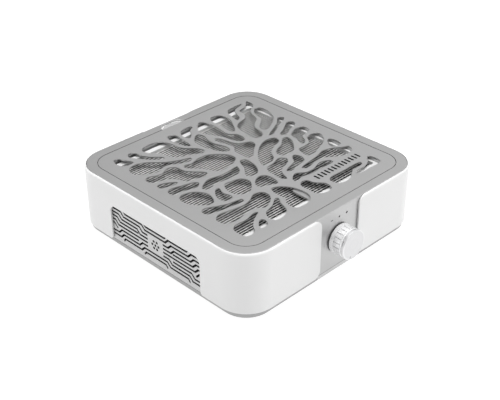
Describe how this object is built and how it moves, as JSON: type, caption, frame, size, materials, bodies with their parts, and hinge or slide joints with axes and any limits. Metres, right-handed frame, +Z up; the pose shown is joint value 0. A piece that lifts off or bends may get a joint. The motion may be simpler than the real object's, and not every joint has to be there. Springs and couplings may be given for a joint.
{
  "type": "nail dust collector",
  "caption": "Square table-top nail dust collector with a lift-off cut-out lid, side exhaust grilles, two wrap-round white shells and a metal speed knob.",
  "frame": {"origin": "centre of the whole footprint, knob included, on the table under the feet", "axes": "+Z up, -Y out of the front wall along the knob's axis, -X to the left seen from the front"},
  "size_m": [0.26, 0.278, 0.076],
  "materials": {
    "grey_paint": "fine satin",
    "white_shell": "satin",
    "white_plastic": "matt",
    "dark_plastic": "matt",
    "rubber": "matt",
    "filter_paper": "matt",
    "mesh": "fine mesh",
    "aluminium": "turned",
    "steel": "plain",
    "board": "solder mask",
    "copper": "enamelled",
    "lens": "gloss"
  },
  "bodies": {
    "body": {"housing": "grey_paint", "shell_left": "white_shell", "shell_right": "white_shell", "finger_cup": "white_plastic", "vent_grille_left": "grey_paint", "vent_grille_right": "grey_paint", "base_pan": "grey_paint", "foot_1": "rubber", "foot_2": "rubber", "foot_3": "rubber", "foot_4": "rubber", "base_screw_1": "steel", "base_screw_2": "steel", "base_screw_3": "steel", "base_screw_4": "steel", "filter_well": "grey_paint", "lid_magnet_1": "steel", "lid_magnet_2": "steel", "lid_magnet_3": "steel", "lid_magnet_4": "steel", "fan_inlet_plate": "dark_plastic", "motor_stator": "copper", "motor_base": "aluminium", "motor_bearing_lower": "steel", "motor_bearing_upper": "steel", "control_board": "board", "speed_potentiometer": "dark_plastic", "potentiometer_nut": "steel", "indicator_lens": "lens", "power_inlet": "dark_plastic", "inlet_screw_1": "steel", "inlet_screw_2": "steel"},
    "lid": {"grille_lid": "grey_paint"},
    "cartridge": {"filter_frame": "white_plastic", "filter_media": "filter_paper", "filter_mesh": "mesh", "filter_pull_tab": "grey_paint"},
    "fan": {"impeller": "dark_plastic", "motor_rotor": "steel", "motor_shaft": "steel"},
    "knob": {"speed_knob": "aluminium", "control_shaft": "aluminium", "knob_grub_screw": "steel"}
  },
  "joints": [
    {"name": "lid_lift", "type": "slide", "parent": "body", "child": "lid", "axis": [0, 0, 1], "range_m": [0, 0.08]},
    {"name": "filter_lift", "type": "slide", "parent": "body", "child": "cartridge", "axis": [0, 0, 1], "range_m": [0, 0.04]},
    {"name": "impeller_spin", "type": "hinge", "parent": "body", "child": "fan", "pos_m": [0, 0.00895, 0.0125], "axis": [0, 0, 1], "continuous": true},
    {"name": "knob_turn", "type": "hinge", "parent": "body", "child": "knob", "pos_m": [0, -0.11895, 0.0415], "axis": [0, 1, 0], "range_deg": [0, 300]}
  ],
  "couplings": [
    {"joint": "filter_lift", "follows": "lid_lift", "ratio": 0.5}
  ]
}
